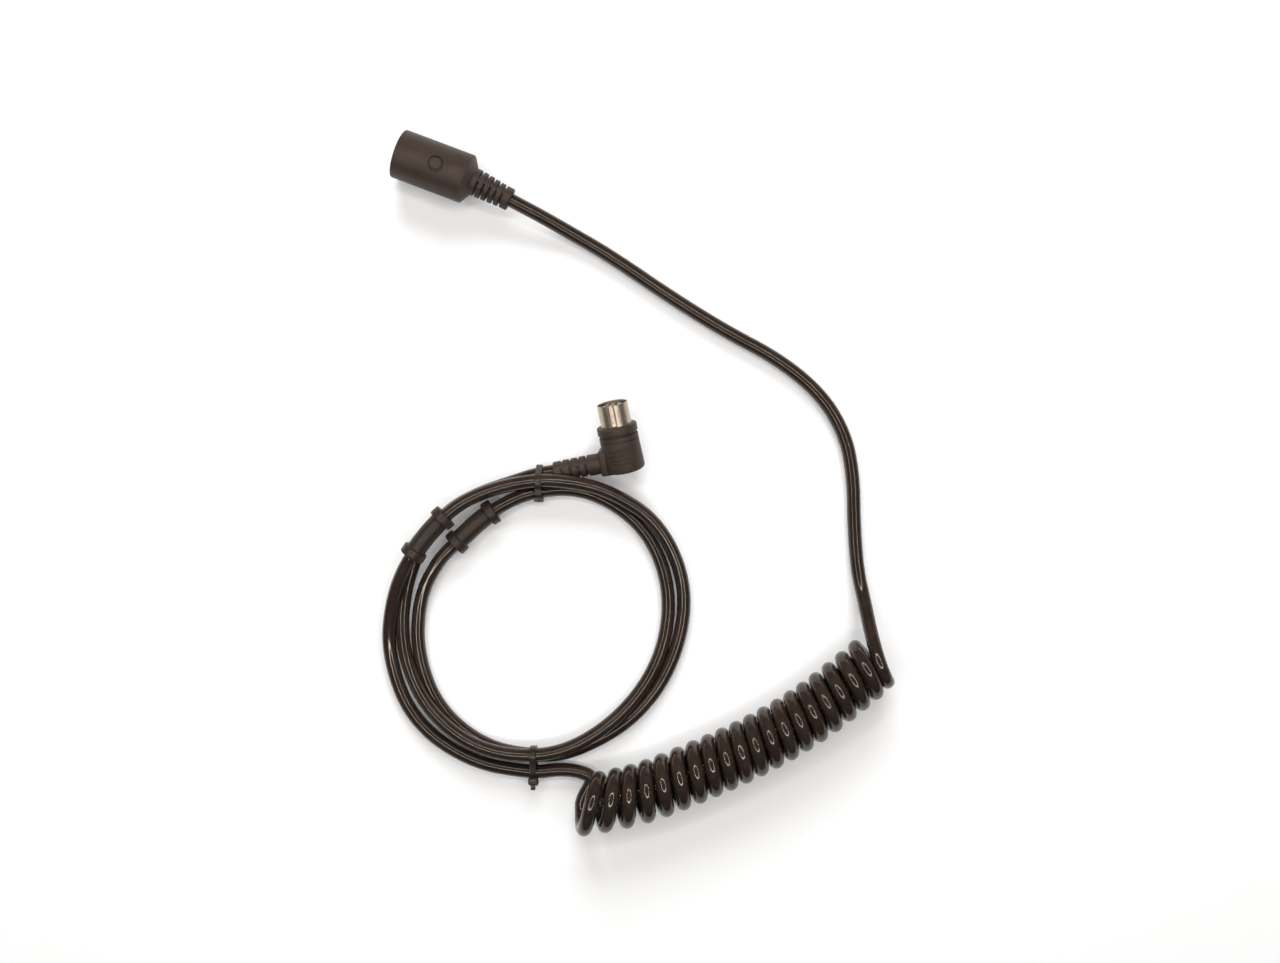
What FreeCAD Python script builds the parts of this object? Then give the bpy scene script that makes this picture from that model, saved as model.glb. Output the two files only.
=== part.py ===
import FreeCAD, Part
import math
import os

V = FreeCAD.Vector

# ---------------------------------------------------------------- cable
CABLE_D = 5.8                 # round jacket over eight cores and a screen
CABLE_R = CABLE_D / 2
CORE_R = 0.5                  # one insulated core
CORE_RING_R = 1.75            # seven cores stand in this circle inside the jacket
ARC_SHARE = 0.45              # part of a run that the arc at its corner takes

# ---------------------------------------------------------------- eight-pole contact layout
PIN_CIRCLE_R = 3.5
PIN_STEP_DEG = 45.0
PIN_R = 0.725
PIN_SITES = [(0.0, 0.0)] + [
    (PIN_CIRCLE_R * math.cos(math.radians(90 + k * PIN_STEP_DEG)),
     PIN_CIRCLE_R * math.sin(math.radians(90 + k * PIN_STEP_DEG)))
    for k in range(-3, 4)]

# ---------------------------------------------------------------- in-line socket
SOCKET_R = 10.6               # moulded body radius, also its axis height when it lies down
SOCKET_BODY = 34.3            # mouth to the neck of the relief
MOUTH_EDGE = 0.6
SHOULDER_X = SOCKET_BODY - 3.45       # end of the straight side
SHOULDER_MID = (SOCKET_BODY - 3.01, SOCKET_R - 0.11)
SHOULDER_END = (SOCKET_BODY - 2.69, SOCKET_R - 0.42)
RECESS_R = 8.9                # takes the flange of the mating plug
RECESS_DEPTH = 5.0
MARK_R = 3.7
MARK_X = 18.4
MARK_H = 0.35
SHIELD_OUT_R = 7.35
SHIELD_IN_R = 6.8
SHIELD_LEN = 11.0
INSULATOR_R = 6.0
INSULATOR_BASE = 2.0
ENTRY_R = 0.85
CONTACT_OUT_R = 1.1
CONTACT_IN_R = 0.75
CONTACT_LEN = 7.5
TAIL_R = 0.5                  # solder tail of a contact or a pin
TAIL_LEN = 2.5
SOCKET_MOULD_END = SOCKET_BODY - 2.8
SOCKET_JACKET_X = SOCKET_BODY - 7.8   # where the jacket is stripped back
CORE_GATHER_X = SOCKET_JACKET_X - 1.7     # where the cores have drawn together
CORE_STRAIGHT = 1.4           # core behind each solder joint
CONTACT_SINK = 1.0            # contact below the insulator's face
CONTACT_WEB = 1.0             # solid end of a contact sleeve
KEY_PLAY = 0.5                # key slot over the key
SOCKET_CLAMP_X = SOCKET_JACKET_X + 0.6
CLAMP_WALL = 0.6
CLAMP_LEN = 3.4

# ---------------------------------------------------------------- socket strain relief
S_RELIEF_TURN = -5.5          # degrees in plan from the socket's axis
S_RELIEF_DROOP = -4.0         # degrees down from level
S_RELIEF_LEN = 17.5
S_RELIEF_SUNK = 2.5           # part of the relief inside the body
S_RELIEF_ROOT_R = 5.9
S_RELIEF_TIP_R = 4.9
S_COLLAR_R = 4.9
S_COLLAR_LEN = 3.4
S_PLAIN_LEN = 1.9             # neck to the first slot
S_SLOTS = 5
S_SLOT_W = 0.9
S_WEB_ROLL = -12.0            # turn of the relief about its own axis
RELIEF_CORE_R = 3.55
WEB_W = 2.0                   # webs between the slots, above and below the core

# ---------------------------------------------------------------- right-angled plug
SHELL_R = 6.6
SHELL_WALL = 0.35
SHELL_IN_R = SHELL_R - SHELL_WALL
SHELL_SEAT_R = 6.3            # the seated part, a step smaller, under the moulding
SHELL_SEAT_IN_R = SHELL_SEAT_R - SHELL_WALL
SHELL_FREE = 9.5              # rim to flange
SHELL_LEN = 16.5
KEY_W = 2.2
KEY_DEPTH = 0.8
KEY_LEN = SHELL_FREE - SHELL_WALL     # rim to the step
PIN_TIP = 0.8                 # below the rim
DISC_X = KEY_LEN
DISC_END = SHELL_LEN - 2.0
FLANGE_R = 8.65
FLANGE_LEN = 3.6
GROOVE_R = 7.45
GROOVE_LEN = 0.9
LIP_R = 8.4
LIP_LEN = 2.0
LINE_R = 8.1                  # fine groove behind the lip
LINE_LEN = 0.35
BODY_TOP_R = 8.4
BODY_END_R = 8.75
PLUG_LEN = 29.9               # rim to blind end
BLIND_ROUND = 2.0
RIDGES = 5
RIDGE_PITCH = 1.9
RIDGE_H = 0.35
RIDGE_W = 0.8
RIDGE_SPAN = 8.0
RIDGE_FIRST = 3.7             # first ridge from the blind end
RELIEF_UP = 4.7               # relief axis above the blind end
BLOCK_LEN = 11.0
BLOCK_H = 10.0
BLOCK_IN = 3.0                # plug axis to the block's two faces
BLOCK_OUT = 10.0
BLOCK_PAST = 0.3              # block beyond the blind end
P_RELIEF_END = 30.5           # plug axis to the end of the relief
P_RELIEF_ROOT_R = 4.6
P_RELIEF_TIP_R = 4.2
P_COLLAR_R = 4.1
P_COLLAR_LEN = 3.3
P_PLAIN_END = 15.4            # plug axis to the first slot
P_SLOTS = 4
P_SLOT_W = 1.0
P_WEB_ROLL = 32.0
RELIEF_ROOM = 0.2             # kept free round the relief inside the ring
PLUG_MOULD_R = 7.2
PLUG_CUP_END = PLUG_LEN - 2.3
PLUG_MOULD_END = PLUG_LEN - 1.0
PLUG_BOSS_R = 3.9
PLUG_BOSS_END = 9.5
PLUG_JACKET_Y = 5.5
PLUG_CLAMP_Y = 5.8
PLUG_GATHER_Y = 3.6
PLUG_BLIND = V(112.7, -92.9, 8.5)     # centre of the blind end
PLUG_HEADING = 122.0                  # degrees in plan, blind end to mouth
PLUG_TILT = 14.0                      # mouth up
PLUG_ROLL = 8.0                       # relief down

# ---------------------------------------------------------------- grommets and ties
GROMMET_LEN = 23.2
GROMMET_R = 4.2
GROMMET_FLANGE_R = 5.5
GROMMET_FLANGE = 3.8
GROMMET_BORE_R = 3.3
TIE_W = 2.8
TIE_T = 1.1
TIE_GAP = 0.1
TIE_HEAD = (4.4, 4.9)                 # across the band, along it
TIE_HEAD_SUNK = 0.4
TIE_TAIL_W = 2.0
# Where each tie stands on the ring, and the strands in it: (distance, height)
TIE_TOP_AT = 109.0
TIE_TOP_STRANDS = [(58.7, 4.1), (65.9, 4.4), (62.3, 9.4)]
TIE_TOP_HEAD = (0, 160.0, 1.3)        # the strand the head sits on, its direction, thick
TIE_TOP_TAIL = 0.3
TIE_BOTTOM_AT = 290.0
TIE_BOTTOM_STRANDS = [(56.0, 4.1), (62.6, 4.1), (55.3, 9.9)]
TIE_BOTTOM_HEAD = (1, 20.0, 3.2)
TIE_BOTTOM_TAIL = 2.0

# ---------------------------------------------------------------- routes, in millimetres
STRAIGHT_LEAD = [
    (38.5, -3.1, 8.2), (52.0, -4.7, 4.0), (74.0, -8.2, 2.9), (104.0, -15.6, 2.9),
    (132.0, -21.2, 2.9), (158.0, -24.4, 2.9), (181.0, -32.3, 2.9), (197.0, -45.2, 2.9),
    (206.6, -61.5, 2.9), (213.8, -80.0, 2.9), (222.0, -98.0, 3.6), (232.0, -114.5, 7.6)]
LEAD_END = (241.6, -131.5, 12.6)
CURL_AXIS = [
    (141.9, -235.5, 12.6), (163.1, -224.4, 12.6), (185.6, -204.1, 12.6), (205.1, -185.1, 12.6),
    (221.1, -165.9, 12.6), (233.6, -146.4, 12.6), (242.8, -129.7, 12.6)]
CURL_D = 25.2
LINK_LEAD = [
    (149.0, -225.3, 2.9), (140.0, -222.4, 2.9), (130.2, -225.1, 3.1), (121.6, -229.8, 4.0)]

# The tied ring: angle in degrees, distance from the ring's centre, height
RING_CENTRE = (99.75, -169.9)
OUTER_STRAND = [
    (290, 63.8, 4.0), (265, 65.8, 2.9), (238, 67.8, 2.9), (211, 65.6, 2.9), (189, 63.0, 6.5),
    (170.2, 61.5, 11.5), (147.2, 62.2, 11.5), (131, 62.4, 9.8), (112, 63.2, 9.8), (98, 64.4, 11.2),
    (82, 67.0, 8.9), (60, 70.3, 6.2), (34, 68.3, 2.9), (6, 62.7, 2.9), (-22, 59.5, 2.9),
    (-51, 57.7, 2.9)]
MIDDLE_STRAND = [
    (-69, 56.8, 4.0), (-93, 57.2, 2.9), (-120, 55.8, 2.9), (-148, 52.8, 2.9), (-174, 51.8, 3.4),
    (-192, 50.6, 5.2), (-203.5, 49.8, 5.6), (-228.6, 53.8, 5.6), (-250, 59.4, 4.0),
    (-272, 64.0, 2.9), (-298, 64.6, 2.9), (-324, 61.2, 2.9), (-352, 57.0, 3.4)]
INNER_STRAND = [
    (-380, 54.2, 5.6), (-408, 54.8, 8.9), (-430, 56.2, 9.9), (-456, 58.4, 9.0), (-482, 58.7, 8.0),
    (-507, 58.8, 3.6), (-530, 59.0, 2.9), (-554, 61.4, 2.9), (-572, 63.0, 2.9), (-586, 62.6, 2.9),
    (-599, 63.0, 3.2), (-610.3, 66.0, 4.3)]
RING_OUTLINE = ((99.0, -168.4), 69.4, 62.4, 62.5)      # centre, half axes, heading
RING_HOLE = ((102.0, -166.7), 56.5, 49.3, 77.0)
RING_BASE_Z = (0.15, 5.5)
GAP_R = 58.6                                           # the strands part at the upper left
GAP_FROM, GAP_TO = 126.0, 181.0


def unit(v):
    out = V(v)
    out.normalize()
    return out


def heading(deg, rise=0.0):
    a, b = math.radians(deg), math.radians(rise)
    return V(math.cos(a) * math.cos(b), math.sin(a) * math.cos(b), math.sin(b))


def cyl(r, length, start, axis):
    return Part.makeCylinder(r, length, V(*start), V(*axis))


def tube(r_out, r_in, length, start, axis):
    return cyl(r_out, length, start, axis).cut(cyl(r_in, length, start, axis))


def joined(shapes):
    out = shapes[0]
    for extra in shapes[1:]:
        out = out.fuse(extra)
    return out.removeSplitter()


def single(shape):
    """The one solid of a boolean's result; stops if there are more."""
    if len(shape.Solids) != 1:
        raise ValueError("expected one solid, found %d" % len(shape.Solids))
    return shape.Solids[0]


def turned(profile):
    """Solid of revolution about X from (x, r) lines and three-point arcs."""
    edges = []
    for step in profile:
        pts = [V(x, 0, r) for x, r in step]
        if len(pts) == 2:
            edges.append(Part.LineSegment(pts[0], pts[1]).toShape())
        else:
            edges.append(Part.Arc(pts[0], pts[1], pts[2]).toShape())
    face = Part.Face(Part.Wire(edges))
    return face.revolve(V(0, 0, 0), V(1, 0, 0), 360)


def route_wire(points, name=None, share=ARC_SHARE):
    """Straight runs joined by tangent arcs through a list of points."""
    pts = [V(*p) for p in points]
    edges, here, radii = [], pts[0], []
    for k in range(1, len(pts) - 1):
        before, after = pts[k - 1] - pts[k], pts[k + 1] - pts[k]
        cut = share * min(before.Length, after.Length)
        turn = math.pi - before.getAngle(after)
        radius = cut / math.tan(turn / 2)
        a = pts[k] + unit(before) * cut
        b = pts[k] + unit(after) * cut
        inward = unit(unit(before) + unit(after))
        centre = pts[k] + inward * (radius / math.cos(turn / 2))
        edges.append(Part.LineSegment(here, a).toShape())
        edges.append(Part.Arc(a, centre - inward * radius, b).toShape())
        here = b
        radii.append(radius)
    edges.append(Part.LineSegment(here, pts[-1]).toShape())
    if name:
        print(name, "radii", " ".join("%.0f" % r for r in radii))
    return Part.Wire(edges)


def swept(points, radius, name=None):
    """A round solid along a route."""
    wire = route_wire(points, name)
    first = V(*points[0])
    ring = Part.Wire(Part.Circle(first, V(*points[1]) - first, radius).toShape())
    solid = wire.makePipeShell([ring], True, False)
    if name:
        ideal = math.pi * radius ** 2 * wire.Length
        print(name, "length %.1f volume %.0f ideal %.0f" % (wire.Length, solid.Volume, ideal))
    return solid


def on_ring(spot):
    angle, distance, height = spot
    a = math.radians(angle)
    return (RING_CENTRE[0] + distance * math.cos(a), RING_CENTRE[1] + distance * math.sin(a), height)


def bent_rod(points, radius):
    """Short rods with a ball at each corner."""
    pts = [V(*p) for p in points]
    pieces = [cyl(radius, (b - a).Length, a, b - a) for a, b in zip(pts, pts[1:])]
    pieces += [Part.makeSphere(radius, p) for p in pts[1:-1]]
    return joined(pieces)


def relief(root_r, tip_r, plain_to, collar_r, collar_len, start, end, slots, slot_w):
    """Segmented strain relief along X, slotted on both sides between webs at +Z and -Z."""
    collar_at = end - collar_len
    body = turned([
        [(start, 0), (start, root_r)], [(start, root_r), (plain_to, root_r)],
        [(plain_to, root_r), (collar_at, tip_r)], [(collar_at, tip_r), (collar_at, 0)],
        [(collar_at, 0), (start, 0)]])
    tip = cyl(collar_r, collar_len, (collar_at, 0, 0), (1, 0, 0))
    tip = tip.makeFillet(0.6, [e for e in tip.Edges if e.Curve.TypeId == "Part::GeomCircle"])
    core = cyl(RELIEF_CORE_R, collar_at - plain_to + collar_len / 2, (plain_to, 0, 0), (1, 0, 0))
    pitch = (collar_at - plain_to - slot_w) / (slots - 1)
    web = Part.makeBox(end, WEB_W, 4 * root_r, V(0, -WEB_W / 2, -2 * root_r))
    for k in range(slots):
        at = (plain_to + pitch * k, 0, 0)
        body = body.cut(tube(2 * root_r, RELIEF_CORE_R, slot_w, at, (1, 0, 0)).cut(web))
    return joined([body, core, tip])


# ================================================================ in-line socket
def socket_parts():
    """The socket with its mouth at x = 0, its axis along X and its top along Z."""
    parts = {}
    axis = (1, 0, 0)
    r, e = SOCKET_R, MOUTH_EDGE
    s = e * (1 - math.sqrt(0.5))
    body = turned([
        [(0, 0), (0, r - e)], [(0, r - e), (s, r - s), (e, r)], [(e, r), (SHOULDER_X, r)],
        [(SHOULDER_X, r), SHOULDER_MID, SHOULDER_END],
        [SHOULDER_END, (SOCKET_BODY, S_RELIEF_ROOT_R)], [(SOCKET_BODY, S_RELIEF_ROOT_R), (SOCKET_BODY, 0)],
        [(SOCKET_BODY, 0), (0, 0)]])
    mark = cyl(MARK_R, 2 * r, (MARK_X, 0, 0), (0, 0, 1))
    mark = mark.common(cyl(r + MARK_H, SOCKET_BODY, (0, 0, 0), axis))
    neck = V(SOCKET_BODY, 0, 0)
    along = heading(S_RELIEF_TURN, S_RELIEF_DROOP)
    roll = FreeCAD.Rotation(V(1, 0, 0), S_WEB_ROLL)
    bend = FreeCAD.Rotation(V(1, 0, 0), along).multiply(roll)
    boot = relief(S_RELIEF_ROOT_R, S_RELIEF_TIP_R, S_PLAIN_LEN, S_COLLAR_R, S_COLLAR_LEN,
                  -S_RELIEF_SUNK, S_RELIEF_LEN, S_SLOTS, S_SLOT_W)
    boot.Placement = FreeCAD.Placement(neck, bend)
    tail = bent_rod([(SOCKET_JACKET_X, 0, 0), neck, neck + along * S_RELIEF_LEN], CABLE_R)
    mould_x = RECESS_DEPTH + SHIELD_LEN
    mould = cyl(SHIELD_OUT_R, SOCKET_MOULD_END - mould_x, (mould_x, 0, 0), axis)
    body = joined([body, mark, boot])
    body = body.cut(cyl(RECESS_R, RECESS_DEPTH, (0, 0, 0), axis))
    body = body.cut(cyl(SHIELD_OUT_R, SOCKET_MOULD_END - RECESS_DEPTH, (RECESS_DEPTH, 0, 0), axis))
    parts["socket_overmould"] = single(body.cut(tail))
    parts["socket_shield"] = tube(SHIELD_OUT_R, SHIELD_IN_R, SHIELD_LEN, (RECESS_DEPTH, 0, 0), axis)

    base_x = RECESS_DEPTH + SHIELD_LEN - INSULATOR_BASE
    block = joined([
        cyl(INSULATOR_R, SHIELD_LEN - INSULATOR_BASE, (RECESS_DEPTH, 0, 0), axis),
        cyl(SHIELD_IN_R, INSULATOR_BASE, (base_x, 0, 0), axis)])
    slot_w = KEY_W + KEY_PLAY
    slot_z = SHELL_R - SHELL_WALL - KEY_DEPTH - KEY_PLAY
    slot = Part.makeBox(SHELL_FREE, slot_w, INSULATOR_R, V(RECESS_DEPTH, -slot_w / 2, 0))
    slot.translate(V(0, 0, -slot_z - INSULATOR_R))
    block = block.cut(slot)
    contact_x = RECESS_DEPTH + CONTACT_SINK
    tail_x = contact_x + CONTACT_LEN + TAIL_LEN
    for n, (y, z) in enumerate(PIN_SITES, 1):
        block = block.cut(cyl(ENTRY_R, SHIELD_LEN, (RECESS_DEPTH, y, z), axis))
        block = block.cut(cyl(CONTACT_OUT_R, SHIELD_LEN, (contact_x, y, z), axis))
        sleeve = tube(CONTACT_OUT_R, CONTACT_IN_R, CONTACT_LEN, (contact_x, y, z), axis)
        web_x = tail_x - TAIL_LEN - CONTACT_WEB
        stub = cyl(TAIL_R, TAIL_LEN + CONTACT_WEB, (web_x, y, z), axis)
        web = cyl(CONTACT_OUT_R, CONTACT_WEB, (web_x, y, z), axis)
        parts["socket_contact_%d" % n] = joined([sleeve, web, stub])
        share = CORE_RING_R / PIN_CIRCLE_R
        core = bent_rod([(tail_x, y, z), (tail_x + CORE_STRAIGHT, y, z),
                         (CORE_GATHER_X, y * share, z * share),
                         (SOCKET_JACKET_X, y * share, z * share)], CORE_R)
        parts["socket_core_%d" % n] = core
        mould = mould.cut(core).cut(cyl(TAIL_R, tail_x - mould_x, (mould_x, y, z), axis))
    parts["socket_insulator"] = single(block)
    clamp = tube(CABLE_R + CLAMP_WALL, CABLE_R, CLAMP_LEN, (SOCKET_CLAMP_X, 0, 0), axis)
    parts["socket_cable_clamp"] = clamp
    parts["socket_inner_mould"] = single(mould.cut(clamp).cut(tail))
    parts["socket_cable_tail"] = tail
    return parts, neck + along * S_RELIEF_LEN, along


# ================================================================ right-angled plug
def plug_parts():
    """The plug with its rim at x = 0, its relief along +Y, ridges and key on -Z."""
    parts = {}
    axis, side = (1, 0, 0), (0, 1, 0)
    flange_x = SHELL_FREE
    groove_x = flange_x + FLANGE_LEN
    lip_x = groove_x + GROOVE_LEN
    line_x = lip_x + LIP_LEN
    body_x = line_x + LINE_LEN
    end, q = PLUG_LEN, BLIND_ROUND
    t = q * (1 - math.sqrt(0.5))
    body = turned([
        [(flange_x, 0), (flange_x, FLANGE_R - 1.2)],
        [(flange_x, FLANGE_R - 1.2), (flange_x + 0.35, FLANGE_R - 0.35), (flange_x + 1.2, FLANGE_R)],
        [(flange_x + 1.2, FLANGE_R), (groove_x - 1.2, FLANGE_R)],
        [(groove_x - 1.2, FLANGE_R), (groove_x - 0.25, FLANGE_R - 0.25), (groove_x, GROOVE_R)],
        [(groove_x, GROOVE_R), (lip_x, GROOVE_R)], [(lip_x, GROOVE_R), (lip_x, LIP_R)],
        [(lip_x, LIP_R), (line_x, LIP_R)], [(line_x, LIP_R), (line_x, LINE_R)],
        [(line_x, LINE_R), (body_x, LINE_R)], [(body_x, LINE_R), (body_x, BODY_TOP_R)],
        [(body_x, BODY_TOP_R), (end - q, BODY_END_R)],
        [(end - q, BODY_END_R), (end - t, BODY_END_R - t), (end, BODY_END_R - q)],
        [(end, BODY_END_R - q), (end, 0)], [(end, 0), (flange_x, 0)]])
    for k in range(RIDGES):
        x = end - RIDGE_FIRST - RIDGE_PITCH * k
        ring = cyl(BODY_END_R + RIDGE_H, RIDGE_W, (x, 0, 0), axis)
        sector = Part.makeBox(RIDGE_W, RIDGE_SPAN, 2 * BODY_END_R, V(x, -RIDGE_SPAN / 2, -2 * BODY_END_R))
        body = body.fuse(ring.common(sector))
    relief_x = end - RELIEF_UP
    block = Part.makeBox(BLOCK_LEN, BLOCK_OUT - BLOCK_IN, BLOCK_H,
                         V(end + BLOCK_PAST - BLOCK_LEN, BLOCK_IN, -BLOCK_H / 2))
    block = block.makeFillet(1.0, [b for b in block.Edges if b.BoundBox.YMax > BLOCK_IN + 1])
    boot = relief(P_RELIEF_ROOT_R, P_RELIEF_TIP_R, P_PLAIN_END, P_COLLAR_R, P_COLLAR_LEN,
                  BLOCK_OUT - 1.0, P_RELIEF_END, P_SLOTS, P_SLOT_W)
    roll = FreeCAD.Rotation(V(1, 0, 0), P_WEB_ROLL)
    boot.Placement = FreeCAD.Placement(V(relief_x, 0, 0),
                                       FreeCAD.Rotation(V(0, 0, 1), 90).multiply(roll))
    tail_len = P_RELIEF_END - PLUG_JACKET_Y
    tail = cyl(CABLE_R, tail_len, (relief_x, PLUG_JACKET_Y, 0), side)
    mould_x = SHELL_LEN
    mould = joined([
        cyl(PLUG_MOULD_R, PLUG_CUP_END - mould_x, (mould_x, 0, 0), axis),
        cyl(SHELL_SEAT_IN_R, mould_x - DISC_END, (DISC_END, 0, 0), axis),
        cyl(PLUG_BOSS_R, PLUG_BOSS_END, (relief_x, 0, 0), side)])
    mould = mould.common(cyl(20, PLUG_MOULD_END - DISC_END, (DISC_END, 0, 0), axis))
    body = joined([body, block, boot])
    body = body.cut(cyl(SHELL_SEAT_R, SHELL_LEN - flange_x, (flange_x, 0, 0), axis))
    clamp = tube(CABLE_R + CLAMP_WALL, CABLE_R, CLAMP_LEN, (relief_x, PLUG_CLAMP_Y, 0), side)
    parts["plug_overmould"] = single(body.cut(mould).cut(tail).cut(clamp))

    shell = joined([
        tube(SHELL_R, SHELL_IN_R, SHELL_FREE, (0, 0, 0), axis),
        tube(SHELL_SEAT_R, SHELL_SEAT_IN_R, SHELL_LEN - KEY_LEN, (KEY_LEN, 0, 0), axis)])
    key_r = SHELL_IN_R - KEY_DEPTH
    wall_w = KEY_W + 2 * SHELL_WALL
    wall = Part.makeBox(KEY_LEN, wall_w, SHELL_SEAT_R - key_r, V(0, -wall_w / 2, -SHELL_SEAT_R))
    wall = wall.common(cyl(SHELL_SEAT_R, SHELL_LEN, (0, 0, 0), axis))
    dent = Part.makeBox(KEY_LEN, KEY_W, SHELL_R, V(0, -KEY_W / 2, -key_r - SHELL_WALL - SHELL_R))
    notch = Part.makeBox(SHELL_FREE, KEY_W, SHELL_R, V(0, -KEY_W / 2, -SHELL_SEAT_R - SHELL_R))
    parts["plug_shell"] = single(joined([shell, wall]).cut(dent).cut(notch))

    disc = cyl(SHELL_SEAT_IN_R, DISC_END - DISC_X, (DISC_X, 0, 0), axis)
    tail_x = DISC_END + TAIL_LEN
    share = CORE_RING_R / PIN_CIRCLE_R
    for n, (y, z) in enumerate(PIN_SITES, 1):
        pin = cyl(PIN_R, DISC_END - PIN_TIP - PIN_R, (PIN_TIP + PIN_R, y, z), axis)
        nose = Part.makeSphere(PIN_R, V(PIN_TIP + PIN_R, y, z))
        stub = cyl(TAIL_R, TAIL_LEN, (DISC_END, y, z), axis)
        parts["plug_pin_%d" % n] = joined([pin, nose, stub])
        core = bent_rod([(tail_x, y, z), (tail_x + CORE_STRAIGHT, y, z),
                         (relief_x - y * share, PLUG_GATHER_Y, z * share),
                         (relief_x - y * share, PLUG_JACKET_Y, z * share)], CORE_R)
        parts["plug_core_%d" % n] = core
        disc = disc.cut(cyl(PIN_R, DISC_END - DISC_X, (DISC_X, y, z), axis))
        mould = mould.cut(core).cut(stub)
    parts["plug_insulator"] = single(disc)
    parts["plug_cable_clamp"] = clamp
    parts["plug_inner_mould"] = single(mould.cut(clamp).cut(tail))
    parts["plug_cable_tail"] = tail
    return parts, V(relief_x, P_RELIEF_END, 0)


def plug_placement():
    """Takes the plug from its own frame to where it lies."""
    forward = heading(PLUG_HEADING, PLUG_TILT)
    level = heading(PLUG_HEADING + 90)
    up = forward.cross(level)
    roll = math.radians(PLUG_ROLL)
    boot = level * math.cos(roll) - up * math.sin(roll)
    x_axis = forward * -1
    turn = FreeCAD.Rotation(x_axis, boot, x_axis.cross(boot), "XYZ")
    place = FreeCAD.Placement(V(0, 0, 0), turn)
    return FreeCAD.Placement(PLUG_BLIND - place.multVec(V(PLUG_LEN, 0, 0)), turn)


# ================================================================ pieces on the cable
def grommet(before, after):
    """Double-flanged sleeve between two points of the ring's route."""
    a, b = V(*on_ring(before)), V(*on_ring(after))
    along = unit(b - a)
    start = (a + b) * 0.5 - along * (GROMMET_LEN / 2)
    far = start + along * (GROMMET_LEN - GROMMET_FLANGE)
    rims = []
    for at in (start, far):
        rim = cyl(GROMMET_FLANGE_R, GROMMET_FLANGE, at, along)
        rims.append(rim.makeFillet(0.5, [e for e in rim.Edges
                                         if e.Curve.TypeId == "Part::GeomCircle"]))
    body = joined([cyl(GROMMET_R, GROMMET_LEN - 1, start + along * 0.5, along)] + rims)
    return body.cut(cyl(GROMMET_BORE_R, GROMMET_LEN, start, along))


def belt(centres, radius):
    """Closed outline round circles of one radius, as a band lies round strands."""
    pts = [V(0, y, z) for y, z in centres]
    count = len(pts)
    normals = []
    for k in range(count):
        step = unit(pts[(k + 1) % count] - pts[k])
        normals.append(V(0, step.z, -step.y) * radius)
    edges = []
    for k in range(count):
        here, nxt = pts[k], pts[(k + 1) % count]
        edges.append(Part.LineSegment(here + normals[k], nxt + normals[k]).toShape())
        middle = unit(normals[k] + normals[(k + 1) % count]) * radius
        edges.append(Part.Arc(nxt + normals[k], nxt + middle, nxt + normals[(k + 1) % count]).toShape())
    return Part.Wire(edges)


def cable_tie(angle, centres, head, tail_len):
    """Tie round the strands at one angle; centres are (distance, height), anticlockwise."""
    strand, toward, thick = head
    inner, outer = CABLE_R + TIE_GAP, CABLE_R + TIE_GAP + TIE_T
    band = Part.Face(belt(centres, outer)).cut(Part.Face(belt(centres, inner)))
    band = band.extrude(V(TIE_W, 0, 0))
    band.translate(V(-TIE_W / 2, 0, 0))
    normal = V(0, math.cos(math.radians(toward)), math.sin(math.radians(toward)))
    step = V(0, normal.z, -normal.y)
    width, length = TIE_HEAD
    box = Part.makeBox(width, length, thick, V(-width / 2, -length / 2, 0))
    box = box.makeFillet(0.5, box.Edges)
    stub = Part.makeBox(TIE_TAIL_W, TIE_T, tail_len + 1.0, V(-TIE_TAIL_W / 2, -TIE_T, thick - 1.0))
    latch = joined([box, stub])
    middle = V(0, *centres[strand]) + normal * (inner + TIE_HEAD_SUNK)
    latch.Placement = FreeCAD.Placement(middle, FreeCAD.Rotation(V(1, 0, 0), step, normal, "XYZ"))
    hollow = Part.Face(belt(centres, inner)).extrude(V(2 * width, 0, 0))
    hollow.translate(V(-width, 0, 0))
    tie = joined([band, latch]).cut(hollow)
    out = heading(angle)
    tie.Placement = FreeCAD.Placement(
        V(RING_CENTRE[0], RING_CENTRE[1], 0),
        FreeCAD.Rotation(V(out.y, -out.x, 0), out, V(0, 0, 1), "XYZ"))
    return single(tie)


# ================================================================ coiled and curled cable
def oval(outline, z_low, z_high):
    (x, y), half_long, half_short, turn = outline
    wire = Part.Wire(Part.Ellipse(V(0, 0, 0), half_long, half_short).toShape())
    solid = Part.Face(wire).extrude(V(0, 0, z_high - z_low))
    solid.Placement = FreeCAD.Placement(V(x, y, z_low), FreeCAD.Rotation(V(0, 0, 1), turn))
    return solid


def ring_coil():
    """Outer shape of the tied ring: a flat band of strands and the strands raised over it."""
    low, high = RING_BASE_Z
    base = oval(RING_OUTLINE, low, high).cut(oval(RING_HOLE, low - 1, high + 1))
    gap = Part.makeCylinder(GAP_R, high - low + 2, V(0, 0, 0), V(0, 0, 1), GAP_TO - GAP_FROM)
    gap.Placement = FreeCAD.Placement(V(RING_CENTRE[0], RING_CENTRE[1], low - 1),
                                      FreeCAD.Rotation(V(0, 0, 1), GAP_FROM))
    base = base.cut(gap)
    raised = [OUTER_STRAND[3:13], MIDDLE_STRAND[4:9], MIDDLE_STRAND[-1:] + INNER_STRAND[:6]]
    for spots in raised:
        base = base.fuse(swept([on_ring(s) for s in spots], CABLE_R))
    return base


# ================================================================ the whole lead
nodes = {}
socket, socket_exit, socket_along = socket_parts()
extent = socket["socket_overmould"].optimalBoundingBox()
socket_place = FreeCAD.Placement(V(-(extent.XMin + extent.XMax) / 2, 0, SOCKET_R), FreeCAD.Rotation())
for name, shape in socket.items():
    shape = shape.copy()
    shape.Placement = socket_place.multiply(shape.Placement)
    nodes[name] = shape

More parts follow.
